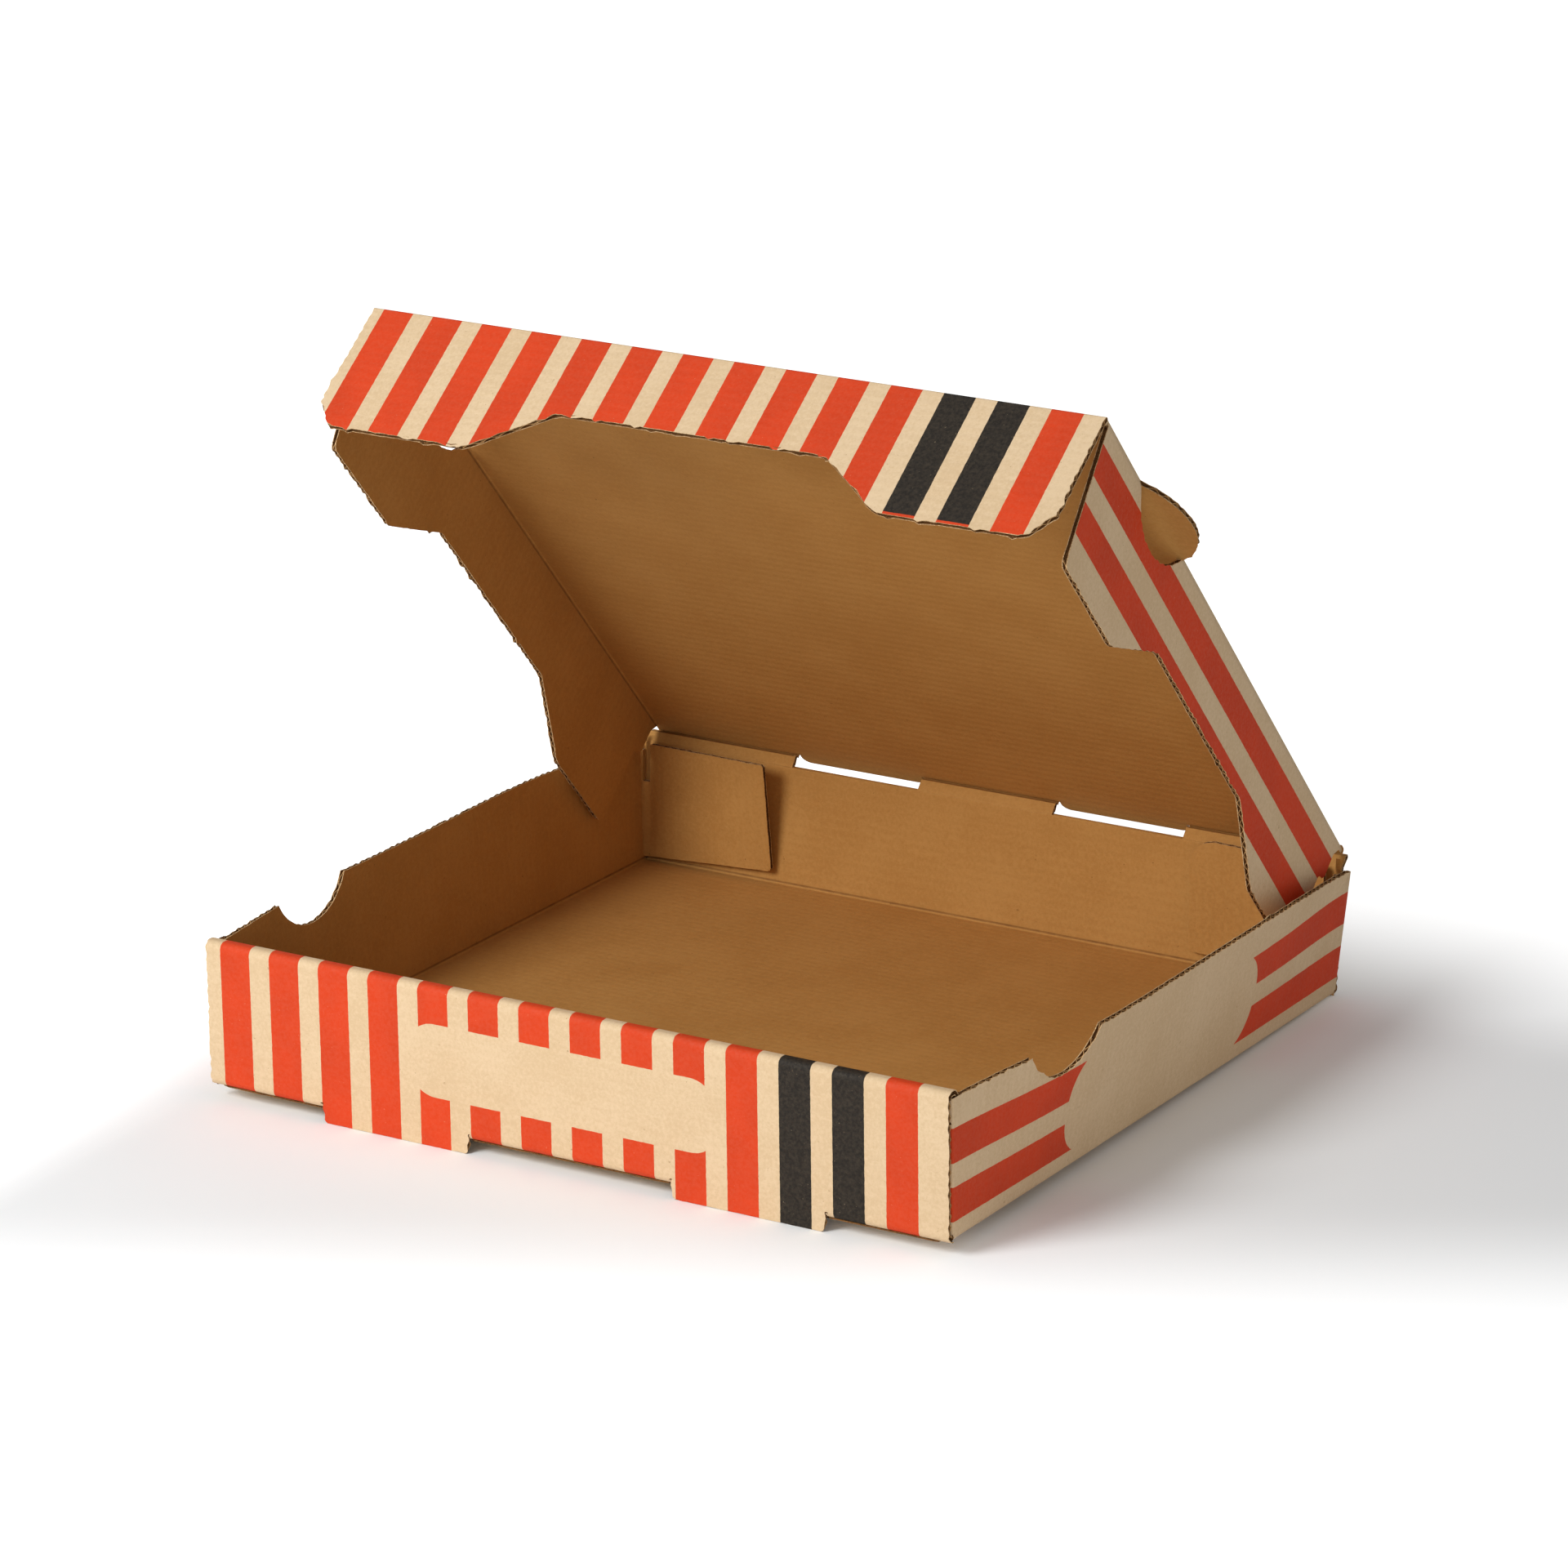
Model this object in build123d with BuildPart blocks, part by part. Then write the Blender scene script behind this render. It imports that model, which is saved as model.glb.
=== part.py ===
"""Pizza box folded from one sheet of thin corrugated board, with its lid standing open.

Millimetres. +Z is up, X runs along the front wall and Y runs to the back. The origin lies on the
table, under the middle of the whole box with its lid open.
"""

from build123d import *
from math import atan2, cos, radians, sin, tan
import os

os.makedirs("parts", exist_ok=True)

# Board
board = 1.6
crease_radius = 1.6
layer_gap = 0.4
hinge_gap = 0.25
tuck_nose_gap = 0.1

# Tray
tray_width = 257.2
tray_depth = 253.0
front_height = 46.8
front_lean = 1.9
front_band = 5.6
band_radius = 1.45
side_height = 46.5
side_front_drop = 1.9
side_rear_drop = 3.9
side_lean_right = 10.8
side_lean_left = 4.3
back_height = 41.8
back_lean = 2.9

# Feet under the front wall, and the slots that they leave in the base
foot_width = 52.7
foot_spacing = 122.7
foot_drop = 4.5
foot_corner = 1.4
foot_taper = 0.8
foot_lap = 4.0
lug_side_gap = 0.6
inner_wall_inset = 3.6

# Corner tabs
rear_tab_length = 51.5
rear_tab_height = 44.6
rear_tab_shoulder = 42.8
rear_tab_root = 29.5
rear_tab_relief = 4.3
rear_tab_web = 1.4
rear_tab_rise = 3.2
rear_tab_spring_left = 7.0
rear_tab_spring_right = 0.8
rear_tab_corner_left = 0.8
rear_tab_corner_right = 9.0
front_tab_length = 42.0
front_tab_height = 36.0
tab_floor_gap = 1.4
upright_radius = 0.9

# Vent notch in each side wall
notch_from_front = 57.5
notch_radius = 21.8
notch_depth = 11.1

# Hinge strip between the back wall and the lid, with two windows
strip_length = 5.5
strip_lean = 40.0
strip_radius = 1.2
window_middle = 48.5
window_length = 47.2
tongue_length = 4.5
tongue_side_gap = 0.7
tongue_corner = 3.0

# Lid
lid_open = 46.8
lid_side_gap = 0.3
lid_front_gap = 14.6
lid_floor_gap = 0.6
flap_rear_start = 3.2
flap_root_edge = 5.2
flap_root_slope = 4.4
flap_root_depth = 12.5
flap_rear_edge = 9.4
flap_rear_slope = 15.5
flap_mid_rise = 15.2
flap_rear_step = 48.5
flap_rear_run = 29.5
flap_front_part = 54.2
flap_front_run = 27.0
flap_front_start = 1.9
flap_front_slant = 8.6
flap_corner = 3.5
flap_shoulder = 6.0

# Vent ear of the lid, left standing when the side flap was folded down
ear_from_front = 53.2
ear_radius = 24.6
ear_reach = 10.6

# Front tuck flap of the lid
tuck_splay = 6.0
tuck_length = 45.6
tuck_side_gap = 0.4
tuck_mid_rise = 17.2
tuck_mid_half = 46.0
tuck_shoulder_run = 24.5
tuck_side_drop = 10.0
tuck_side_cut = 6.5
tuck_corner = 5.0
tuck_shoulder = 7.0

# Places worked out from the sizes above
half_width = tray_width / 2
inner_half = half_width - board
base_z = foot_drop
base_mid = base_z + board / 2
front_out = front_height * tan(radians(front_lean))
back_rise = back_height - board / 2
back_top_run = tray_depth - board / 2 + back_rise * tan(radians(back_lean))
hinge_run = back_top_run + strip_length * sin(radians(strip_lean))
hinge_height = back_height + strip_length * cos(radians(strip_lean))
swing = radians(lid_open)
rear_reach = hinge_run + tongue_length * cos(swing) + board / 2 * sin(swing)
front_y = (front_out - rear_reach) / 2
hinge_y = front_y + hinge_run
hinge_z = base_z + hinge_height
nose_gap = board / 2 + hinge_gap

# Mid lines of the front wall, seen from the side
front_foot_y = front_y + board / 2
front_top_y = front_foot_y - front_out
band_z = base_z + front_height - board / 2
inner_top_y = front_top_y + front_band - board
inner_foot_y = front_y + foot_drop + board / 2 - layer_gap
front_tilt = atan2(front_out, band_z - base_mid)
inner_tilt = atan2(inner_foot_y - inner_top_y, band_z - base_mid)
back_foot_y = front_y + tray_depth - board / 2


def on_front_wall(height):
    """Point on the front wall's mid line, at a height over the base's mid line."""
    return (front_foot_y - height * tan(front_tilt), base_mid + height)


def on_inner_wall(height):
    """Point on the inner front wall's mid line, at a height over the base's mid line."""
    return (inner_foot_y - height * tan(inner_tilt), base_mid + height)


def on_side_wall(side, tilt, height):
    """Point on a side wall's mid line, at a height up the wall over the base's mid line."""
    return (side * (half_width - board / 2 + height * sin(tilt)), base_mid + height * cos(tilt))


def rear_tab(side, tilt, spring, corner):
    """Corner tab folded in at a side wall's rear end, its free top corner sprung forward."""
    mid_y = front_y + tray_depth - board - layer_gap - board / 2
    free_x = half_width - rear_tab_length
    with BuildPart() as tab:
        # Sheet, flat at its crease and sprung forward at its free end
        for place, top_run in ((half_width + 5 * board, 0), (half_width, 0), (free_x, spring)):
            with BuildSketch(Plane.YZ.offset(side * place)):
                with BuildLine() as sheet:
                    Line((mid_y, base_z + board), (mid_y - top_run, base_z + side_height))
                trace(sheet.line, line_width=board)
        loft(ruled=True)

        # Outline seen from the front, with a slot beside the crease for the lid's side flap
        with BuildSketch(Plane.XZ.offset(-mid_y)):
            with BuildLine():
                FilletPolyline(
                    on_side_wall(side, tilt, board / 2 + tab_floor_gap),
                    (side * free_x, base_z + board + tab_floor_gap + rear_tab_rise),
                    (side * free_x, base_z + rear_tab_height),
                    (side * (half_width - rear_tab_relief), base_z + rear_tab_shoulder),
                    (side * (half_width - rear_tab_relief), base_z + rear_tab_root),
                    (side * (half_width - rear_tab_web), base_z + rear_tab_root),
                    (side * (half_width - rear_tab_web), base_z + rear_tab_height - rear_tab_relief),
                    on_side_wall(side, tilt, rear_tab_height - rear_tab_relief - board / 2),
                    radius=(0, board, corner, board / 2, 0, 0, 0, 0),
                    close=True,
                )
            make_face()
        extrude(amount=2 * board + spring, both=True, mode=Mode.INTERSECT)
    return tab.part


def side_wall(side, lean, spring, corner):
    """One side wall with its bottom bend, its vent notch and its two corner tabs."""
    tab_run = board + layer_gap
    rear_end = tray_depth - board - layer_gap
    rear_share = 0.54
    stations = (
        (0.2, side_front_drop, 0.02),
        (0.07 * tray_depth, side_front_drop * 0.6, 0.24),
        (0.15 * tray_depth, side_front_drop * 0.2, 0.60),
        (0.29 * tray_depth, 0, 0.96),
        (0.52 * tray_depth, 0, 1.0),
        (0.78 * tray_depth, side_rear_drop * 0.05, 0.92),
        (rear_end, side_rear_drop, rear_share),
    )
    tab = rear_tab(side, radians(lean * rear_share), spring, corner)
    with BuildPart() as wall:
        # Wall and bend, bowed outwards between the two corners
        for run, drop, share in stations:
            with BuildSketch(Plane.XZ.offset(-(front_y + run))):
                with BuildLine() as bend:
                    FilletPolyline(
                        (side * (half_width - 4 * crease_radius), base_mid),
                        on_side_wall(side, 0, 0),
                        on_side_wall(side, radians(lean * share), side_height - drop - board / 2),
                        radius=crease_radius,
                    )
                trace(bend.line, line_width=board)
        loft()

        # Front end follows the lean of the front wall
        with BuildSketch(Plane.YZ):
            with BuildLine():
                foot_y, foot_z = on_front_wall(-board)
                top_y, top_z = on_front_wall(front_height)
                Polyline(
                    (foot_y - 3 * tab_run, foot_z),
                    (foot_y + board / 2 + layer_gap, foot_z),
                    (top_y + board / 2 + layer_gap, top_z),
                    (top_y - 3 * tab_run, top_z),
                    close=True,
                )
            make_face()
        extrude(amount=tray_width, both=True, mode=Mode.SUBTRACT)

        # Vent notch
        notch_z = base_z + side_height - notch_depth + notch_radius
        with BuildSketch(Plane.YZ):
            with Locations((front_y + notch_from_front, notch_z)):
                Circle(notch_radius)
        extrude(amount=tray_width, both=True, mode=Mode.SUBTRACT)

        # Rounded upright creases at both corners
        for end in (-1, 1):
            upright = wall.edges().filter_by(
                lambda e: end * (e @ 0).Y > 0 and abs((e @ 1).Z - (e @ 0).Z) > side_height * 0.8
            )
            fillet(upright.sort_by(lambda e: side * (e @ 0).X)[-1], upright_radius)

        # Rear corner tab, inside the back wall
        add(tab)

        # Front corner tab, folded in between the two layers of the front wall
        with BuildSketch(Plane.YZ.offset(side * (half_width - front_tab_length))):
            with BuildLine() as tab_line:
                low_y, low_z = on_front_wall(board / 2 + tab_floor_gap)
                high_y, high_z = on_front_wall(front_tab_height)
                Line((low_y + tab_run, low_z), (high_y + tab_run, high_z))
            trace(tab_line.line, line_width=board)
        extrude(amount=side * (front_tab_length - board / 2))
    return wall.part


def foot(place):
    """One foot, left in the plane of the front wall when its slot was cut in the base."""
    with BuildPart() as tongue:
        with BuildSketch(Plane.YZ.offset(place - foot_width / 2)):
            with BuildLine() as foot_line:
                Line(on_front_wall(-foot_drop - board / 2), on_front_wall(foot_lap))
            trace(foot_line.line, line_width=board)
        extrude(amount=foot_width)
        with BuildSketch(Plane.XZ.offset(-front_y)):
            with BuildLine():
                FilletPolyline(
                    (place - foot_width / 2, base_mid + 2 * foot_lap),
                    (place - foot_width / 2, base_z),
                    (place - foot_width / 2 + foot_taper, 0),
                    (place + foot_width / 2 - foot_taper, 0),
                    (place + foot_width / 2, base_z),
                    (place + foot_width / 2, base_mid + 2 * foot_lap),
                    radius=(0, 0, foot_corner, foot_corner, 0, 0),
                    close=True,
                )
            make_face()
        extrude(amount=2 * board, both=True, mode=Mode.INTERSECT)
    return tongue.part


# Side walls and feet
right_wall = side_wall(1, side_lean_right, rear_tab_spring_right, rear_tab_corner_right)
left_wall = side_wall(-1, side_lean_left, rear_tab_spring_left, rear_tab_corner_left)
right_foot = foot(foot_spacing / 2)
left_foot = foot(-foot_spacing / 2)

# Tray: base, rolled front wall, side walls, back wall and hinge strips from one sheet
with BuildPart() as tray:
    # Outer front wall with the band on top, and the bend into the base
    with BuildSketch(Plane.YZ.offset(-half_width)):
        with BuildLine() as front_line:
            FilletPolyline(
                (front_foot_y + 1.1 * crease_radius, base_mid),
                on_front_wall(0),
                (front_top_y, band_z),
                (inner_top_y, band_z),
                on_inner_wall(front_height - board - 1.5 * band_radius),
                radius=(crease_radius, band_radius, band_radius),
            )
        trace(front_line.line, line_width=board)
    extrude(amount=tray_width)

    # Inner front wall
    with BuildSketch(Plane.YZ.offset(-half_width + inner_wall_inset)):
        with BuildLine() as inner_line:
            Line(
                on_inner_wall(front_height - board - 1.5 * band_radius),
                on_inner_wall(board / 2 + layer_gap),
            )
        trace(inner_line.line, line_width=board)
    extrude(amount=tray_width - 2 * inner_wall_inset)

    # Base
    with BuildSketch(Plane.XY.offset(base_z)):
        with Locations((0, front_y + crease_radius)):
            Rectangle(
                tray_width - 6 * crease_radius,
                tray_depth - 2 * crease_radius,
                align=(Align.CENTER, Align.MIN),
            )
    extrude(amount=board)

    # Bend into the back wall, and the hinge strip that leans back on top of it
    with BuildSketch(Plane.YZ.offset(-half_width)):
        with BuildLine() as back_line:
            FilletPolyline(
                (back_foot_y - 1.1 * crease_radius, base_mid),
                (back_foot_y, base_mid),
                (front_y + back_top_run, base_z + back_height),
                (hinge_y, hinge_z),
                radius=(crease_radius, strip_radius),
            )
        trace(back_line.line, line_width=board)
    extrude(amount=tray_width)

    # Strip ends just under the hinge line
    with BuildSketch(Plane.YZ):
        with Locations((hinge_y, hinge_z - nose_gap)):
            Rectangle(6 * board, 4 * board, align=(Align.CENTER, Align.MIN))
    extrude(amount=tray_width, both=True, mode=Mode.SUBTRACT)

    # Two windows between the strips
    with BuildSketch(Plane.XZ.offset(-hinge_y)):
        with Locations((-window_middle, base_z + back_height), (window_middle, base_z + back_height)):
            Rectangle(window_length, 2 * strip_length, align=(Align.CENTER, Align.MIN))
    extrude(amount=2 * strip_length, both=True, mode=Mode.SUBTRACT)

    # Side walls
    add(right_wall)
    add(left_wall)

    # Slots that the feet leave in the base
    with BuildSketch(Plane.XY.offset(base_z - board)):
        with Locations((-foot_spacing / 2, front_y - board), (foot_spacing / 2, front_y - board)):
            Rectangle(foot_width, 2 * board + foot_drop, align=(Align.CENTER, Align.MIN))
    extrude(amount=2 * board + crease_radius, mode=Mode.SUBTRACT)
    add(right_foot)
    add(left_foot)

    # Lugs of the inner front wall, locked in those slots
    for place in (-foot_spacing / 2, foot_spacing / 2):
        with BuildSketch(Plane.YZ.offset(place)):
            with BuildLine() as lug_line:
                Line(on_inner_wall(2 * board), on_inner_wall(-board / 2))
            trace(lug_line.line, line_width=board)
        extrude(amount=foot_width / 2 - lug_side_gap, both=True)

tray.part.label = "tray"
export_step(tray.part, "parts/tray.step")


# The lid's own plane: X across, Y from the hinge to its front crease, Z towards its inside
lid_plane = Plane(
    origin=(0, hinge_y, hinge_z),
    x_dir=(1, 0, 0),
    z_dir=(0, -sin(swing), -cos(swing)),
)
lid_half = inner_half - lid_side_gap
lid_length = hinge_run - lid_front_gap
flap_depth = hinge_height - board - lid_floor_gap
flap_front_step = lid_length - flap_front_part
ear_middle = lid_length - ear_from_front

# The same plane seen along the hinge line, with X up the lid and Y into its inside
lid_side = Plane(origin=lid_plane.origin, x_dir=lid_plane.y_dir, z_dir=(1, 0, 0))


def across_lid(run):
    """Plane across the lid at a run from the hinge, with X to the right and Y into its inside."""
    return Plane(
        origin=lid_plane.from_local_coords((0, run, 0)),
        x_dir=(-1, 0, 0),
        z_dir=lid_plane.y_dir,
    )


# Lid: top panel, two side flaps with their vent ears, and the rear tongues, from one sheet
with BuildPart() as lid:
    # Panel with a side flap bent down at each edge
    fold = lid_half - board / 2
    with BuildSketch(across_lid(flap_rear_start)):
        with BuildLine() as fold_line:
            FilletPolyline(
                (-fold, flap_depth),
                (-fold, 0),
                (fold, 0),
                (fold, flap_depth),
                radius=crease_radius,
            )
        trace(fold_line.line, line_width=board)
    extrude(amount=lid_length - flap_front_start - flap_rear_start)

    # Outline of the side flaps
    with BuildSketch(lid_side):
        with BuildLine():
            FilletPolyline(
                (0, -board),
                (0, board),
                (flap_rear_start, board),
                (flap_root_edge, flap_root_slope),
                (flap_root_edge, flap_root_depth),
                (flap_rear_edge, flap_rear_slope),
                (flap_rear_edge, flap_depth),
                (flap_rear_step, flap_depth),
                (flap_rear_step + flap_rear_run, flap_depth - flap_mid_rise),
                (flap_front_step - flap_front_run, flap_depth - flap_mid_rise),
                (flap_front_step, flap_depth),
                (lid_length - flap_front_start - flap_front_slant, flap_depth),
                (lid_length - flap_front_start, board),
                (lid_length, board),
                (lid_length, -board),
                radius=(
                    0,
                    0,
                    0,
                    0,
                    0,
                    0,
                    flap_corner,
                    flap_shoulder,
                    flap_shoulder,
                    flap_shoulder,
                    flap_shoulder,
                    flap_corner,
                    0,
                    0,
                    0,
                ),
                close=True,
            )
        make_face()
    extrude(amount=2 * lid_half, both=True, mode=Mode.INTERSECT)

    # Half round holes that the vent ears leave in the flaps
    for side in (-1, 1):
        with BuildSketch(lid_side.offset(side * (lid_half - board - crease_radius))):
            with Locations((ear_middle, ear_reach - ear_radius)):
                Circle(ear_radius)
        extrude(amount=side * 2 * (board + crease_radius), mode=Mode.SUBTRACT)

    # Vent ears, flat with the panel
    with BuildSketch(lid_plane.offset(-board / 2)):
        with Locations(
            (-(lid_half + ear_reach - ear_radius), ear_middle),
            (lid_half + ear_reach - ear_radius, ear_middle),
        ):
            Circle(ear_radius)
    extrude(amount=board)

    # Panel up to its front crease
    with BuildSketch(lid_plane.offset(-board / 2)):
        with Locations((0, 2 * board)):
            Rectangle(
                2 * fold,
                lid_length - nose_gap - tuck_nose_gap - 2 * board,
                align=(Align.CENTER, Align.MIN),
            )
    extrude(amount=board)

    # Rounded rear edge on the hinge line
    with BuildSketch(lid_side):
        with Locations((0, 0)):
            Rectangle(3 * board, board, align=(Align.MIN, Align.CENTER))
            Circle(board / 2)
    extrude(amount=fold, both=True)

    # Two tongues that stand in the windows of the tray
    with BuildSketch(lid_plane.offset(-board / 2)):
        for place in (-window_middle, window_middle):
            half = window_length / 2 - tongue_side_gap
            with BuildLine():
                FilletPolyline(
                    (place - half, 2 * board),
                    (place - half, -tongue_length),
                    (place + half, -tongue_length),
                    (place + half, 2 * board),
                    radius=(0, tongue_corner, tongue_corner, 0),
                    close=True,
                )
            make_face()
    extrude(amount=board)

lid.part.label = "lid"
export_step(lid.part, "parts/lid.step")


# Front tuck flap: X across, Y from its crease to its free edge
tuck_swing = radians(90 - tuck_splay)
tuck_along = lid_plane.y_dir * cos(tuck_swing) + lid_plane.z_dir * sin(tuck_swing)
tuck_origin = lid_plane.from_local_coords((0, lid_length, 0))
tuck_plane = Plane(origin=tuck_origin, x_dir=(1, 0, 0), z_dir=Vector(1, 0, 0).cross(tuck_along))
tuck_side = Plane(origin=tuck_origin, x_dir=tuck_along, z_dir=(1, 0, 0))
tuck_half = lid_half - tuck_side_gap

with BuildPart() as front_flap:
    # Outline, with a shallow cut-out along the middle of its free edge
    with BuildSketch(tuck_plane):
        with BuildLine():
            FilletPolyline(
                (-tuck_half, -board),
                (tuck_half, -board),
                (tuck_half, tuck_length - tuck_side_drop),
                (tuck_half - tuck_side_cut, tuck_length),
                (tuck_mid_half + tuck_shoulder_run, tuck_length),
                (tuck_mid_half, tuck_length - tuck_mid_rise),
                (-tuck_mid_half, tuck_length - tuck_mid_rise),
                (-tuck_mid_half - tuck_shoulder_run, tuck_length),
                (tuck_side_cut - tuck_half, tuck_length),
                (-tuck_half, tuck_length - tuck_side_drop),
                radius=(
                    0,
                    0,
                    tuck_corner,
                    tuck_corner,
                    tuck_shoulder,
                    tuck_shoulder,
                    tuck_shoulder,
                    tuck_shoulder,
                    tuck_corner,
                    tuck_corner,
                ),
                close=True,
            )
        make_face()
    extrude(amount=board / 2, both=True)

    # Rounded edge on the crease line
    with BuildSketch(tuck_side):
        Rectangle(2 * tuck_length, board, align=(Align.MIN, Align.CENTER))
        Circle(board / 2)
    extrude(amount=tray_width, both=True, mode=Mode.INTERSECT)

front_flap.part.label = "lid_front_flap"
export_step(front_flap.part, "parts/lid_front_flap.step")
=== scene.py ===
"""Look of a folded corrugated pizza box that stands open on a pale floor.

Every sheet of board is a copy of its CAD body whose cut edges are opened between the two liners,
filled with a fluted medium, frayed and printed. Lengths in this file are millimetres until
they reach a mesh, which is in metres.
"""

import logging
import math
from dataclasses import dataclass, field
from enum import Enum
from typing import Callable

import bmesh
import bpy
from mathutils import Matrix, Vector, noise


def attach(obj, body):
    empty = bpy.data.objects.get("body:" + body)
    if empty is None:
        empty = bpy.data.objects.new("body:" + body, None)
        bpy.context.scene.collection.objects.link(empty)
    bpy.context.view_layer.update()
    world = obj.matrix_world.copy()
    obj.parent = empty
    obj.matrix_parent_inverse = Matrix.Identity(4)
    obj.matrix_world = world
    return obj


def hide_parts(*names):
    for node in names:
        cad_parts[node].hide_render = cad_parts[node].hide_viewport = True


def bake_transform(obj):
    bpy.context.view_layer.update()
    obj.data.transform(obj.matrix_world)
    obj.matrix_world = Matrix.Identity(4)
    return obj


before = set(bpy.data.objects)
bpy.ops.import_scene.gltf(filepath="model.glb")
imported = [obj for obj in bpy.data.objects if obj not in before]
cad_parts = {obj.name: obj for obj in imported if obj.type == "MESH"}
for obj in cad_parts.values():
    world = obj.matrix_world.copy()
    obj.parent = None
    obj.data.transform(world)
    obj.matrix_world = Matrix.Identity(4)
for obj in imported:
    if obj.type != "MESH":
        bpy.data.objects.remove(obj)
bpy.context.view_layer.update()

MM = 0.001
log = logging.getLogger("pizza_box")


class Side(Enum):
    """Which part of the corrugated board a face belongs to."""

    OUTER = 0
    INNER = 1
    RIM = 2
    CORE = 3


class Print(Enum):
    """Print on the outer liner."""

    PLAIN = 0
    FRONT = 1
    TUCK = 2
    WALL = 3
    FLAP = 4


# Sizes


@dataclass(frozen=True)
class Board:
    """Corrugated board in millimetres."""

    thickness: float = 1.6
    liner: float = 0.26
    flute_pitch: float = 3.4
    edge_recess: float = 0.9
    medium_half: float = 0.13
    medium_top: float = 0.12


@dataclass(frozen=True)
class Fray:
    """Wear of a cut edge: depths in millimetres and noise scales per millimetre."""

    ragged: float = 0.11
    uneven: float = 1.6
    scale: float = 0.45
    scallop: float = 0.3
    tuft_scale: float = 0.37
    tuft_gain: float = 3.0
    tuft_most: float = 0.8
    same_way: float = 0.9


@dataclass(frozen=True)
class TraySize:
    """Places of the tray in millimetres.

    The shared frame gives front_y and base_z, and the rest is measured from them.
    """

    half_width: float = 128.6
    depth: float = 253.0
    front_y: float = -129.9617
    base_z: float = 4.5
    lean: float = 0.0332
    crease: float = 2.4
    band_centre: float = 44.55
    band_reach: float = 5.2
    band_core: tuple[float, float] = (0.7, 1.8)
    front_sheet: float = 1.8
    raw_end: float = 2.6
    roll_reach: float = 5.9
    roll_half: float = 125.2
    roll_inner: float = 3.8
    foot_half: float = 26.35
    foot_middle: float = 61.35
    foot_top: float = 3.3
    tab_depth: tuple[float, float] = (240.0, 251.1)
    tab_across: tuple[float, float] = (76.0, 126.9)
    back_sheet: float = 251.2
    back_height: float = 41.8
    strip_deg: float = 40.0


@dataclass(frozen=True)
class LidSize:
    """Places of the lid in millimetres: hinge line, opening angle and length."""

    hinge_y: float = 127.8506
    hinge_z: float = 50.5132
    open_deg: float = 46.8
    length: float = 243.2123
    half_width: float = 126.7
    bend: float = 2.4
    tuck_deg: float = 84.0
    ear_from_front: float = 53.2
    ear_half: float = 26.0


BOARD = Board()
FRAY = Fray()
TRAY = TraySize()
LID = LidSize()
END_FACING = 0.997
UNTORN = -1.0


@dataclass(frozen=True)
class Axes:
    """A sheet's own axes: origin in millimetres, and unit vectors along, and out of its inside."""

    origin: Vector
    along: Vector
    inward: Vector

    def local(self, p: Vector) -> Vector:
        """Sheet coordinates of a point of the frame.

        Args:
            p: Point in millimetres.

        Returns:
            x across, y along the sheet and z towards its inside.
        """
        r = p - self.origin
        return Vector((r.x, r.dot(self.along), r.dot(self.inward)))

    def turn(self, n: Vector) -> Vector:
        """Sheet components of a direction of the frame."""
        return Vector((n.x, n.dot(self.along), n.dot(self.inward)))


def lid_axes() -> Axes:
    """Axes of the lid's top panel, from its hinge line."""
    a = math.radians(LID.open_deg)
    return Axes(
        Vector((0, LID.hinge_y, LID.hinge_z)),
        Vector((0, -math.cos(a), math.sin(a))),
        Vector((0, -math.sin(a), -math.cos(a))),
    )


def tuck_axes() -> Axes:
    """Axes of the front tuck flap, from its crease.

    Returns:
        The flap's axes.
    """
    lid = lid_axes()
    a = math.radians(LID.tuck_deg)
    return Axes(
        lid.origin + lid.along * LID.length,
        lid.along * math.cos(a) + lid.inward * math.sin(a),
        lid.inward * math.cos(a) - lid.along * math.sin(a),
    )


# What each face of the folded sheet is


@dataclass(frozen=True)
class Patch:
    """A face's outward direction, its print and the way to its place in the flat blank."""

    outward: Vector
    print: Print
    blank: Callable[[Vector], tuple[float, float]]


def away(p: Vector, centre: Vector) -> Vector:
    """Unit vector from a bend's centre to a point."""
    d = p - centre
    return d.normalized() if d.length > 1e-6 else Vector((0, 0, 1))


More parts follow.
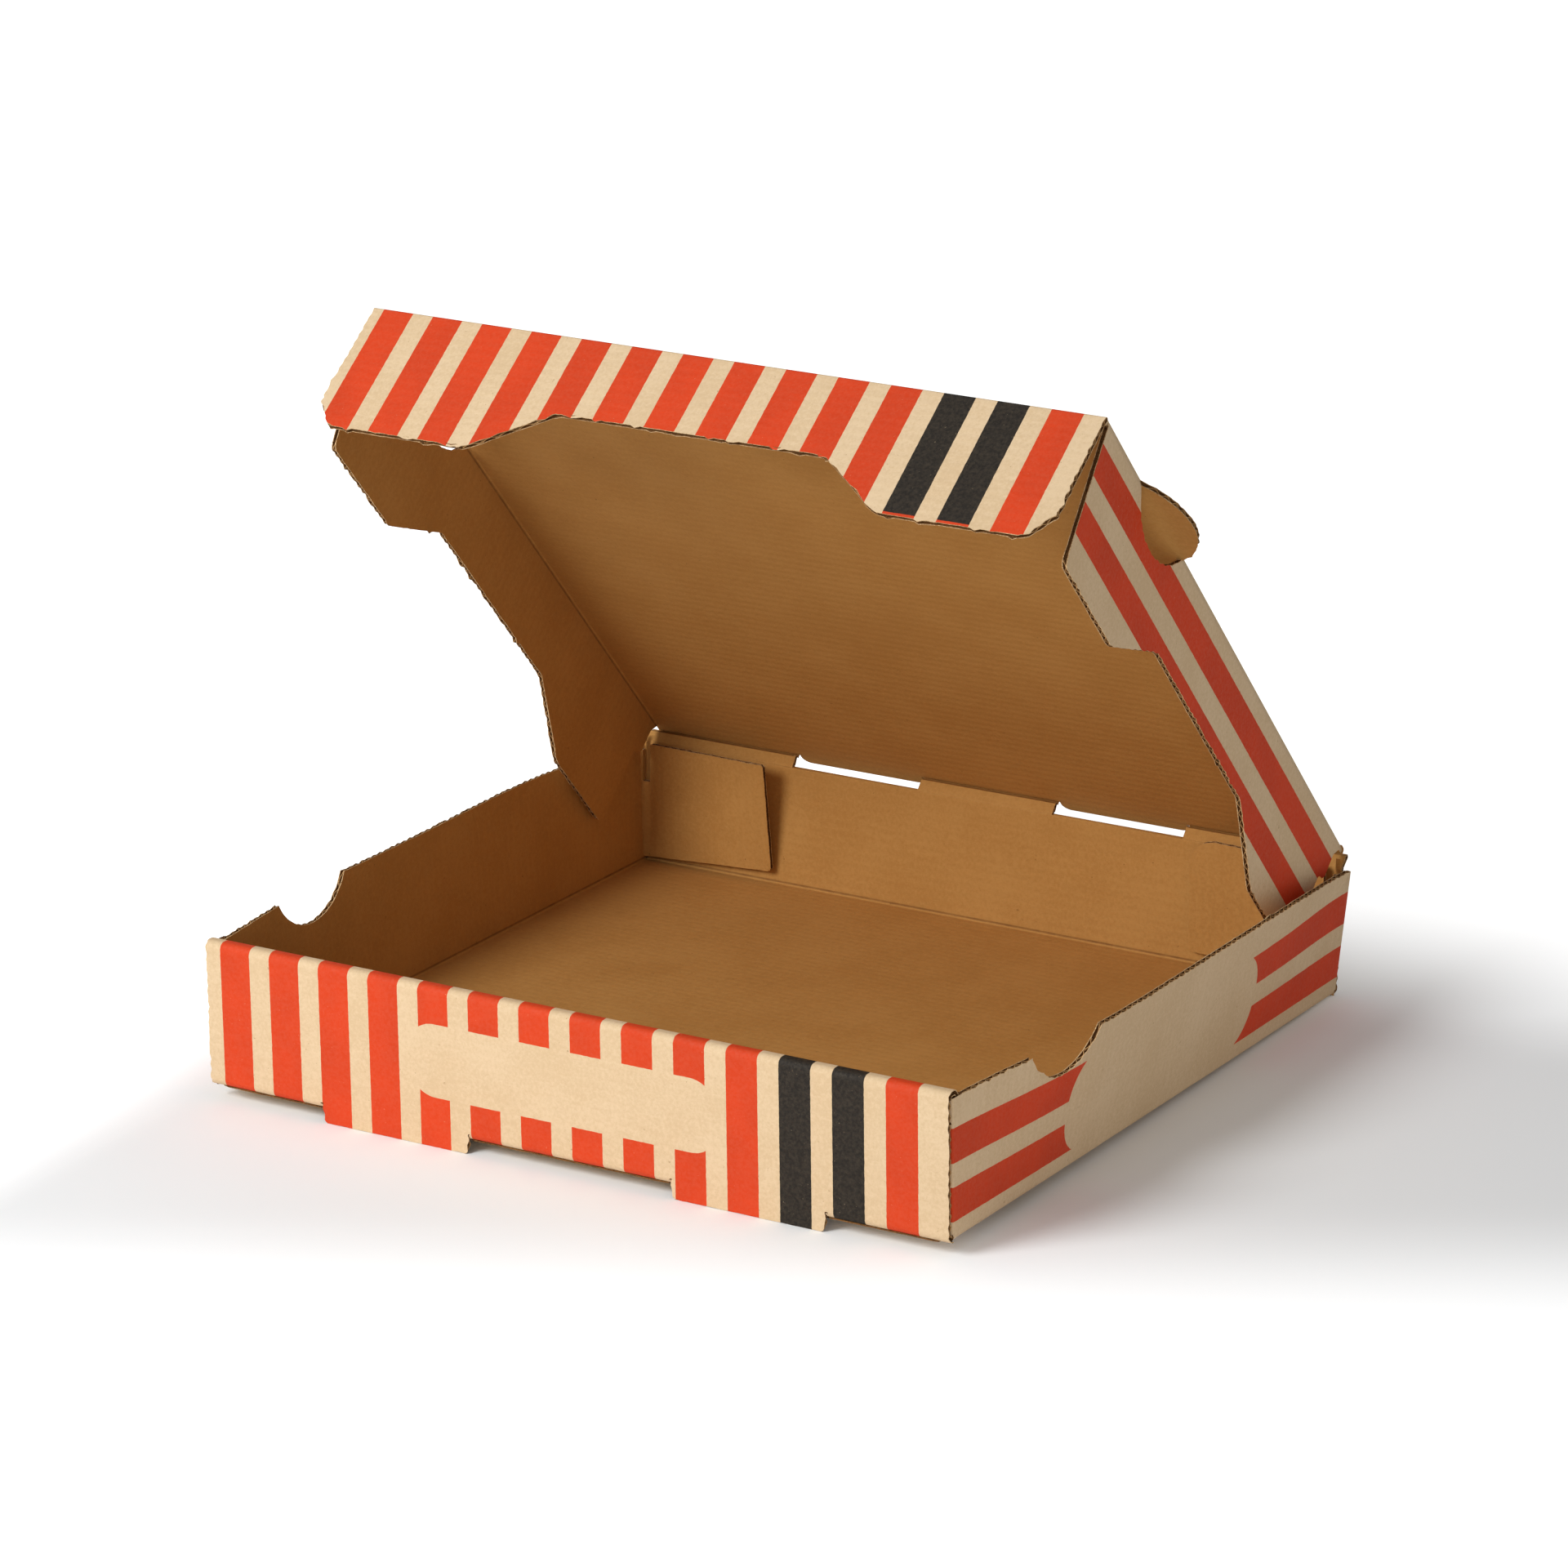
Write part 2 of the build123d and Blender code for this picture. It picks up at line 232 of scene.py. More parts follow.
def tray_patch(c: Vector, n: Vector) -> Patch:
    """Where a face of the tray lies on the folded sheet.

    Args:
        c: Middle of the face in millimetres.
        n: Its normal.

    Returns:
        The face's patch.
    """
    t = TRAY
    side = 1.0 if c.x > 0 else -1.0
    x, y, z = abs(c.x), c.y - t.front_y, c.z - t.base_z
    lean_y = y + z * t.lean
    r = t.crease

    def front_blank(p: Vector) -> tuple[float, float]:
        """Place on the front wall, in millimetres over its lower edge."""
        return p.x, -(p.z - t.base_z)

    def wall_blank(p: Vector) -> tuple[float, float]:
        """Place on a side wall, up it and along it."""
        return p.z - t.base_z, p.y - t.front_y

    def base_blank(p: Vector) -> tuple[float, float]:
        """Place on the base."""
        return p.x, p.y - t.front_y

    def back_blank(p: Vector) -> tuple[float, float]:
        """Place on the back wall, beyond the base."""
        return p.x, t.depth + p.z - t.base_z

    def tab_blank(p: Vector) -> tuple[float, float]:
        """Place on a corner tab, beyond its side wall."""
        return p.z - t.base_z, t.depth + t.half_width - abs(p.x)

    in_foot = abs(x - t.foot_middle) < t.foot_half + 0.01 and z < t.foot_top
    if x > t.half_width - 0.05 and abs(n.x) > END_FACING and y < t.raw_end:
        return Patch(Vector((0, -1, 0)), Print.FRONT, front_blank)
    if z > t.band_centre and y < t.band_reach:
        core = min(max(y, t.band_core[0]), t.band_core[1])
        near = Vector((c.x, core + t.front_y, t.band_centre + t.base_z))
        return Patch(away(c, near), Print.FRONT, front_blank)
    if lean_y < t.front_sheet and (z > r or in_foot or y < 0.02):
        return Patch(Vector((0, -1, 0)), Print.FRONT, front_blank)
    if lean_y < r and z < r and not in_foot:
        centre = Vector((c.x, t.front_y + r, t.base_z + r))
        return Patch(away(c, centre), Print.FRONT, front_blank)
    if lean_y < t.roll_reach and x < t.roll_half and z > -0.2:
        if lean_y > t.roll_inner and (z > 2.0 or in_foot):
            return Patch(Vector((0, 1, 0)), Print.PLAIN, front_blank)
        if z > 2.3:
            return Patch(Vector((0, -1, 0)), Print.PLAIN, tab_blank)
    in_tab = t.tab_depth[0] < y < t.tab_depth[1] and t.tab_across[0] < x < t.tab_across[1]
    if in_tab and z > 2.4:
        return Patch(Vector((0, 1, 0)), Print.PLAIN, tab_blank)
    if y > t.back_sheet or (y > 250.5 and z < r):
        if z < r:
            centre = Vector((c.x, t.front_y + t.depth - r, t.base_z + r))
            return Patch(away(c, centre), Print.PLAIN, back_blank)
        if z > t.back_height - 0.3:
            a = math.radians(t.strip_deg)
            return Patch(Vector((0, math.cos(a), -math.sin(a))), Print.PLAIN, back_blank)
        return Patch(Vector((0, 1, 0)), Print.PLAIN, back_blank)
    if x > t.half_width - r:
        if z < r:
            centre = Vector((side * (t.half_width - r), c.y, t.base_z + r))
            return Patch(away(c, centre), Print.WALL, wall_blank)
        if y > 250.0 and n.y > 0.3:
            return Patch(n.copy(), Print.WALL, wall_blank)
        if y > 248.5 and n.y < -0.3:
            return Patch(-n, Print.WALL, wall_blank)
        if lean_y < 3.2 and n.y < -0.3:
            return Patch(n.copy(), Print.WALL, wall_blank)
        return Patch(Vector((side, 0, 0)), Print.WALL, wall_blank)
    return Patch(Vector((0, 0, -1)), Print.PLAIN, base_blank)


def lid_patch(c: Vector, n: Vector) -> Patch:
    """Where a face of the lid lies on the folded sheet.

    Args:
        c: Middle of the face in millimetres.
        n: Its normal.

    Returns:
        The face's patch.
    """
    axes = lid_axes()
    p = axes.local(c)
    side = 1.0 if p.x > 0 else -1.0
    x = abs(p.x)
    bend = LID.half_width - LID.bend
    on_ear = abs(p.y - (LID.length - LID.ear_from_front)) < LID.ear_half and abs(p.z) < 0.82

    def panel_blank(q: Vector) -> tuple[float, float]:
        """Place on the lid's top panel."""
        r = axes.local(q)
        return r.x, r.y

    def flap_blank(q: Vector) -> tuple[float, float]:
        """Place on a side flap of the lid."""
        r = axes.local(q)
        return r.z, r.y

    if x > bend and p.z < LID.bend - 0.8 and not on_ear and 3.1 < p.y < LID.length - 1.8:
        local = Vector((side * (x - bend), 0, p.z - (LID.bend - 0.8)))
        out = Vector((local.x, 0, 0)) + axes.inward * local.z
        return Patch(out.normalized(), Print.FLAP, flap_blank)
    if p.z > 0.9:
        return Patch(Vector((side, 0, 0)), Print.FLAP, flap_blank)
    if p.y < 0.05 and abs(axes.turn(n).z) < 0.95 and x < bend:
        sign = -1.0 if axes.turn(n).z > 0 else 1.0
        return Patch(n * sign, Print.PLAIN, panel_blank)
    return Patch(-axes.inward, Print.PLAIN, panel_blank)


def tuck_patch(c: Vector, n: Vector) -> Patch:
    """Where a face of the front tuck flap lies on the folded sheet.

    Args:
        c: Middle of the face in millimetres.
        n: Its normal.

    Returns:
        The face's patch.
    """
    axes = tuck_axes()

    def blank(q: Vector) -> tuple[float, float]:
        """Place on the tuck flap."""
        r = axes.local(q)
        return r.x, r.y

    if axes.local(c).y < 0.05 and abs(n.x) < 0.5:
        sign = -1.0 if axes.turn(n).z > 0 else 1.0
        return Patch(n * sign, Print.TUCK, blank)
    return Patch(-axes.inward, Print.TUCK, blank)


# Finishes


def srgb(r: float, g: float, b: float) -> tuple[float, float, float, float]:
    """Linear colour of an sRGB triple from 0 to 255.

    Args:
        r, g, b: The three channels.

    Returns:
        Red, green, blue and a full alpha.
    """

    def one(v: float) -> float:
        """One channel."""
        v /= 255.0
        return v / 12.92 if v <= 0.04045 else ((v + 0.055) / 1.055) ** 2.4

    return one(r), one(g), one(b), 1.0


class Graph:
    """Small helper that writes a material's node tree."""

    def __init__(self, name: str) -> None:
        """Starts a material.

        Args:
            name: The material's name.
        """
        self.material = bpy.data.materials.new(name)
        self.material.use_nodes = True
        self.tree = self.material.node_tree
        self.shader = self.tree.nodes["Principled BSDF"]
        self.coords = self.node("ShaderNodeTexCoord")

    def node(self, kind: str, **values: object) -> bpy.types.Node:
        """Adds a node and sets its properties.

        Args:
            kind: Blender's name of the node.
            values: Its properties.

        Returns:
            The node.
        """
        made = self.tree.nodes.new(kind)
        for key, value in values.items():
            setattr(made, key, value)
        return made

    def link(self, source: object, target: object) -> None:
        """Links two sockets, or sets the target's value where the source is a number.

        Args:
            source: Socket, number or colour.
            target: Socket that takes it.
        """
        if isinstance(source, (int, float, tuple)):
            target.default_value = source
        else:
            self.tree.links.new(source, target)

    def math(self, operation: str, a: object, b: object = 0.0, c: object = 0.0) -> object:
        """One Math node.

        Args:
            operation: What it works out.
            a, b, c: Sockets or numbers.

        Returns:
            The result's socket.
        """
        made = self.node("ShaderNodeMath", operation=operation)
        self.link(a, made.inputs[0])
        self.link(b, made.inputs[1])
        self.link(c, made.inputs[2])
        return made.outputs[0]

    def smooth(self, value: object, low: float, high: float) -> object:
        """Smooth step of a value between two limits.

        Args:
            value: Socket.
            low, high: Where the result is 0 and 1.

        Returns:
            The result's socket.
        """
        made = self.node("ShaderNodeMapRange", interpolation_type="SMOOTHSTEP")
        self.link(value, made.inputs["Value"])
        made.inputs["From Min"].default_value = low
        made.inputs["From Max"].default_value = high
        return made.outputs["Result"]

    def scale(
        self, value: object, low: float, high: float, to_low: float, to_high: float
    ) -> object:
        """Value mapped from one range to another.

        Args:
            value: Socket.
            low, high: Its range.
            to_low, to_high: Range of the result.

        Returns:
            The result's socket.
        """
        made = self.node("ShaderNodeMapRange")
        self.link(value, made.inputs["Value"])
        made.inputs["From Min"].default_value = low
        made.inputs["From Max"].default_value = high
        made.inputs["To Min"].default_value = to_low
        made.inputs["To Max"].default_value = to_high
        return made.outputs["Result"]

    def mix(self, factor: object, a: object, b: object) -> object:
        """Mix of two colours.

        Args:
            factor: How much of b.
            a, b: Colours.

        Returns:
            The colour's socket.
        """
        made = self.node("ShaderNodeMix", data_type="RGBA")
        self.link(factor, made.inputs["Factor"])
        self.link(a, made.inputs["A"])
        self.link(b, made.inputs["B"])
        return made.outputs["Result"]

    def noise(
        self, size: float, detail: float = 2.0, stretch: tuple = (1, 1, 1), rough: float = 0.5
    ) -> object:
        """Noise with features of about size millimetres on Object coordinates.

        Args:
            size: Size of its features.
            detail: Octaves.
            stretch: Share of the size along each axis.
            rough: Weight of the finer octaves.

        Returns:
            The noise's socket, from 0 to 1.
        """
        place = self.node("ShaderNodeMapping")
        place.inputs["Scale"].default_value = tuple(1.0 / (size * MM * s) for s in stretch)
        self.link(self.coords.outputs["Object"], place.inputs["Vector"])
        made = self.node("ShaderNodeTexNoise")
        made.inputs["Scale"].default_value = 1.0
        made.inputs["Detail"].default_value = detail
        made.inputs["Roughness"].default_value = rough
        self.link(place.outputs["Vector"], made.inputs["Vector"])
        return made.outputs["Fac"]

    def blank(self) -> tuple[object, object]:
        """Place on the flat blank in millimetres, from the piece's UV.

        Returns:
            Sockets of u and v.
        """
        split = self.node("ShaderNodeSeparateXYZ")
        self.link(self.coords.outputs["UV"], split.inputs["Vector"])
        return (
            self.math("MULTIPLY", split.outputs["X"], 1000.0),
            self.math("MULTIPLY", split.outputs["Y"], 1000.0),
        )

    def bump(self, height: object, strength: float, distance: float) -> None:
        """Bump of the shader's normal, over a distance in millimetres.

        Args:
            height: Socket.
            strength: Share of the bump.
            distance: Its height.
        """
        made = self.node("ShaderNodeBump")
        made.inputs["Strength"].default_value = strength
        made.inputs["Distance"].default_value = distance * MM
        self.link(height, made.inputs["Height"])
        self.link(made.outputs["Normal"], self.shader.inputs["Normal"])


@dataclass(frozen=True)
class LinerFinish:
    """Paper liner: its colour, fibres and flecks, the ripple of the flutes under it as a bump, and
    painted shade in that ripple's troughs.
    """

    name: str
    base: tuple
    light: tuple
    dark: tuple
    fleck: tuple
    print: Print = Print.PLAIN
    red: tuple = srgb(214, 62, 17)
    black: tuple = srgb(33, 27, 21)
    roughness: float = 0.82
    mottle: float = 0.5
    # Whether painted shade is drawn along the scored creases.
    painted_crease_shade: bool = False
    # Share of painted shade in the troughs of the flutes' ripple.
    washboard_shade: float = 0.1

    def build(self) -> bpy.types.Material:
        """Makes the liner's material.

        Returns:
            The material.
        """
        g = Graph(self.name)
        u, v = g.blank()
        cloud = g.noise(26.0, 3.0)
        grain = g.noise(1.1, 3.0, rough=0.65)
        fibre_a = g.noise(0.55, 1.0, (7.0, 0.7, 0.9))
        fibre_b = g.noise(0.6, 1.0, (0.8, 6.0, 0.9))
        flecks = g.noise(1.7, 2.0, rough=0.7)
        tone = g.math("ADD", g.math("MULTIPLY", cloud, 0.4), g.math("MULTIPLY", grain, 0.6))
        paper = g.mix(g.smooth(tone, 0.36, 0.64), self.dark, self.light)
        paper = g.mix(self.mottle, self.base, paper)
        fibres = g.math("MAXIMUM", fibre_a, fibre_b)
        paper = g.mix(g.math("MULTIPLY", g.smooth(fibres, 0.64, 0.76), 0.35), paper, self.light)
        paper = g.mix(g.math("MULTIPLY", g.smooth(flecks, 0.70, 0.78), 0.55), paper, self.fleck)
        wave = g.math("SINE", g.math("MULTIPLY", v, math.tau / BOARD.flute_pitch))
        # Painted shade: the colour darkens with the flute wave, standing in for the shade in the
        # ripple's troughs.
        paper = g.mix(g.scale(wave, -1.0, 1.0, 0.0, self.washboard_shade), paper, self.dark)
        rough = g.scale(grain, 0.3, 0.7, self.roughness - 0.07, self.roughness + 0.07)
        colour = paper
        if self.print is not Print.PLAIN:
            colour, ink = self._ink(g, u, v, paper, grain, cloud)
            rough = g.math("SUBTRACT", rough, g.math("MULTIPLY", ink, 0.12))
        # Painted shade: the inner liner is darkened along its scored creases, standing in for the
        # shade in the folds.
        if self.painted_crease_shade:
            colour = g.mix(self._crease_shade_mask(g), colour, self.fleck)
        g.link(colour, g.shader.inputs["Base Color"])
        g.link(rough, g.shader.inputs["Roughness"])
        g.shader.inputs["Specular IOR Level"].default_value = 0.28
        relief = g.math("ADD", g.math("MULTIPLY", wave, 0.38), g.math("MULTIPLY", grain, 0.55))
        relief = g.math("ADD", relief, g.math("MULTIPLY", fibres, 0.5))
        g.bump(relief, 0.5, 0.1)
        log.info("liner material %s with print %s", self.name, self.print.name)
        return g.material

    def _crease_shade_mask(self, g: Graph) -> object:
        """Painted shade along the scored lines round the tray's base and round the lid's top panel,
        where the folds fall into shade.

        Args:
            g: The material's graph.

        Returns:
            Socket, 0 away from the lines.
        """
        lid = lid_axes()
        split = g.node("ShaderNodeSeparateXYZ")
        g.link(g.coords.outputs["Object"], split.inputs["Vector"])
        inward = g.node("ShaderNodeVectorMath", operation="DOT_PRODUCT")
        g.link(g.coords.outputs["Object"], inward.inputs[0])
        inward.inputs[1].default_value = lid.inward
        base_line = (TRAY.base_z + BOARD.thickness + 0.75) * MM
        lid_line = (lid.origin.dot(lid.inward) + 1.5) * MM
        low = g.math("ABSOLUTE", g.math("SUBTRACT", split.outputs["Z"], base_line))
        high = g.math("ABSOLUTE", g.math("SUBTRACT", inward.outputs["Value"], lid_line))
        line = g.smooth(g.math("MINIMUM", low, high), 0.00055, 0.0001)
        return g.math("MULTIPLY", line, g.scale(g.noise(3.0, 2.0), 0.3, 0.7, 0.45, 0.75))

    def _ink(
        self, g: Graph, u: object, v: object, paper: object, grain: object, cloud: object
    ) -> tuple:
        """Print over the paper.

        Args:
            g: The material's graph.
            u, v: Place on the flat blank.
            paper: Colour under the ink.
            grain, cloud: The paper's noises.

        Returns:
            The colour, and how much ink lies at each point.
        """
        wobble = g.math("MULTIPLY", g.math("SUBTRACT", g.noise(1.6, 3.0), 0.5), 0.28)
        u = g.math("ADD", u, wobble)
        v = g.math("ADD", v, wobble)
        if self.print in (Print.FRONT, Print.TUCK):
            ink, black = self._stripes(g, u, v)
        else:
            ink, black = self._bars(g, u, v), 0.0
        cover = g.scale(grain, 0.3, 0.62, 0.965, 1.0)
        worn = g.smooth(g.noise(0.8, 2.0, rough=0.6), 0.7, 0.78)
        cover = g.math("MULTIPLY", cover, g.math("SUBTRACT", 1.0, g.math("MULTIPLY", worn, 0.22)))
        ink = g.math("MULTIPLY", ink, cover)
        deep = tuple(c * 0.9 for c in self.red[:3]) + (1.0,)
        red = g.mix(g.smooth(cloud, 0.35, 0.65), self.red, deep)
        dye = g.mix(black, red, self.black)
        return g.mix(ink, paper, dye), ink

    def _stripes(self, g: Graph, u: object, v: object) -> tuple:
        """Fourteen upright stripes, two of them black, with a bare plaque on the front wall.

        Args:
            g: The material's graph.
            u, v: Place on the flat blank.

        Returns:
            Where the ink is, and where it is black.
        """
        first = -123.18 if self.print is Print.FRONT else -122.48
        pitch, width, soft = 17.77, 10.58, 0.09
        run = g.math("DIVIDE", g.math("SUBTRACT", u, first), pitch)
        part = g.math("MULTIPLY", g.math("FRACT", run), pitch)
        stripe = g.math("MULTIPLY", g.smooth(part, 0.0, soft), g.smooth(part, width + soft, width))
        stripe = g.math("MULTIPLY", stripe, g.math("LESS_THAN", run, 13.9))
        stripe = g.math("MULTIPLY", stripe, g.math("GREATER_THAN", run, -0.05))
        black = g.math("COMPARE", g.math("FLOOR", run), 11.5, 0.6)
        if self.print is Print.FRONT:
            up = g.math("MULTIPLY", v, -1.0)
            plaque = self._rounded(g, u, up, (-56.0, 51.6), (11.6, 35.0), 9.5)
            stripe = g.math("MULTIPLY", stripe, g.math("SUBTRACT", 1.0, plaque))
        else:
            fringe = g.math("MULTIPLY", g.smooth(v, 44.55, 44.7), black)
            black = g.math("SUBTRACT", black, fringe)
        return stripe, black

    def _bars(self, g: Graph, u: object, v: object) -> object:
        """Two bars along a side, broken by a bare plaque on the tray's walls.

        Args:
            g: The material's graph.
            u, v: Place on the flat blank.

        Returns:
            Where the ink is.
        """
        on_wall = ((6.3, 17.0), (24.4, 35.3))
        on_flap = ((6.2, 16.0), (23.9, 33.6))
        bars = on_wall if self.print is Print.WALL else on_flap
        total = None
        for low, high in bars:
            bar = g.math("MULTIPLY", g.smooth(u, low, low + 0.09), g.smooth(u, high + 0.09, high))
            total = bar if total is None else g.math("MAXIMUM", total, bar)
        if self.print is Print.WALL:
            plaque = self._rounded(g, v, u, (64.0, 185.3), (5.0, 37.2), 14.0)
            total = g.math("MULTIPLY", total, g.math("SUBTRACT", 1.0, plaque))
        return total

    def _rounded(
        self, g: Graph, u: object, v: object, across: tuple, up: tuple, radius: float
    ) -> object:
        """Inside of a rounded rectangle.

        Args:
            g: The material's graph.
            u, v: Place on the flat blank.
            across, up: Its two ranges.
            radius: Radius of its corners.

        Returns:
            Socket, 1 inside and 0 outside.
        """
        mid_u, mid_v = sum(across) / 2, sum(up) / 2
        half_u = (across[1] - across[0]) / 2 - radius
        half_v = (up[1] - up[0]) / 2 - radius
        du = g.math("SUBTRACT", g.math("ABSOLUTE", g.math("SUBTRACT", u, mid_u)), half_u)
        dv = g.math("SUBTRACT", g.math("ABSOLUTE", g.math("SUBTRACT", v, mid_v)), half_v)
        du, dv = g.math("MAXIMUM", du, 0.0), g.math("MAXIMUM", dv, 0.0)
        far = g.math("SQRT", g.math("ADD", g.math("MULTIPLY", du, du), g.math("MULTIPLY", dv, dv)))
        return g.smooth(far, radius + 0.09, radius)


@dataclass(frozen=True)
class EdgeFinish:
    """Cut paper of an edge: liner rims, core walls or the fluted medium."""

    name: str
    light: tuple
    dark: tuple
    grain: float = 0.5
    roughness: float = 0.95

    def build(self) -> bpy.types.Material:
        """Makes the cut paper's material.

        Returns:
            The material.
        """
        g = Graph(self.name)
        fine = g.noise(self.grain, 3.0, rough=0.7)
        patch = g.noise(6.0, 2.0)
        tone = g.math("ADD", g.math("MULTIPLY", fine, 0.7), g.math("MULTIPLY", patch, 0.3))
        colour = g.mix(g.smooth(tone, 0.36, 0.62), self.dark, self.light)
        rough = g.scale(fine, 0.3, 0.7, self.roughness - 0.08, self.roughness)
        g.link(colour, g.shader.inputs["Base Color"])
        g.link(rough, g.shader.inputs["Roughness"])
        g.shader.inputs["Specular IOR Level"].default_value = 0.15
        g.bump(fine, 0.8, 0.18)
        log.info("edge material %s", self.name)
        return g.material


CREAM = dict(
    base=srgb(218, 189, 151),
    light=srgb(227, 200, 164),
    dark=srgb(206, 175, 134),
    fleck=srgb(150, 108, 64),
)
KRAFT = dict(
    base=srgb(184, 132, 68),
    light=srgb(194, 144, 80),
    dark=srgb(172, 120, 58),
    fleck=srgb(110, 70, 30),
)


@dataclass
class Finishes:
    """All materials of the box, made once."""

    plain: LinerFinish = LinerFinish("cream_liner", **CREAM)
    front: LinerFinish = LinerFinish("cream_liner_front_print", print=Print.FRONT, **CREAM)
    tuck: LinerFinish = LinerFinish("cream_liner_tuck_print", print=Print.TUCK, **CREAM)
    wall: LinerFinish = LinerFinish("cream_liner_wall_print", print=Print.WALL, **CREAM)
    flap: LinerFinish = LinerFinish("cream_liner_flap_print", print=Print.FLAP, **CREAM)
    inner: LinerFinish = LinerFinish("kraft_liner", painted_crease_shade=True, **KRAFT)
    rim: EdgeFinish = EdgeFinish("torn_liner_edge", srgb(226, 194, 148), srgb(158, 116, 72))
    core: EdgeFinish = EdgeFinish("board_core", srgb(134, 93, 52), srgb(82, 53, 28))
    flute: EdgeFinish = EdgeFinish("fluted_medium", srgb(200, 155, 102), srgb(150, 108, 66), 0.35)
    made: dict = field(default_factory=dict)

    def get(self, name: str) -> bpy.types.Material:
        """A finish's material by its field name.

        Args:
            name: Field of this class.

        Returns:
            The material.
        """
        if name not in self.made:
            self.made[name] = getattr(self, name).build()
        return self.made[name]


SLOTS = ("plain", "front", "tuck", "wall", "flap", "inner", "rim", "core", "flute")
PRINT_SLOT = {kind: SLOTS.index(kind.name.lower()) for kind in Print}


# Sheets of board


def add_piece(name: str, bm: bmesh.types.BMesh, materials: list) -> bpy.types.Object:
    """Turns a bmesh into an object of the scene, and frees it.

    Args:
        name: Name of the object and its mesh.
        bm: The shape.
        materials: Materials in the order of the faces' indices.

    Returns:
        The object.
    """
    mesh = bpy.data.meshes.new(name)
    bm.to_mesh(mesh)
    bm.free()
    for material in materials:
        mesh.materials.append(material)
    piece = bpy.data.objects.new(name, mesh)
    bpy.context.scene.collection.objects.link(piece)
    return piece


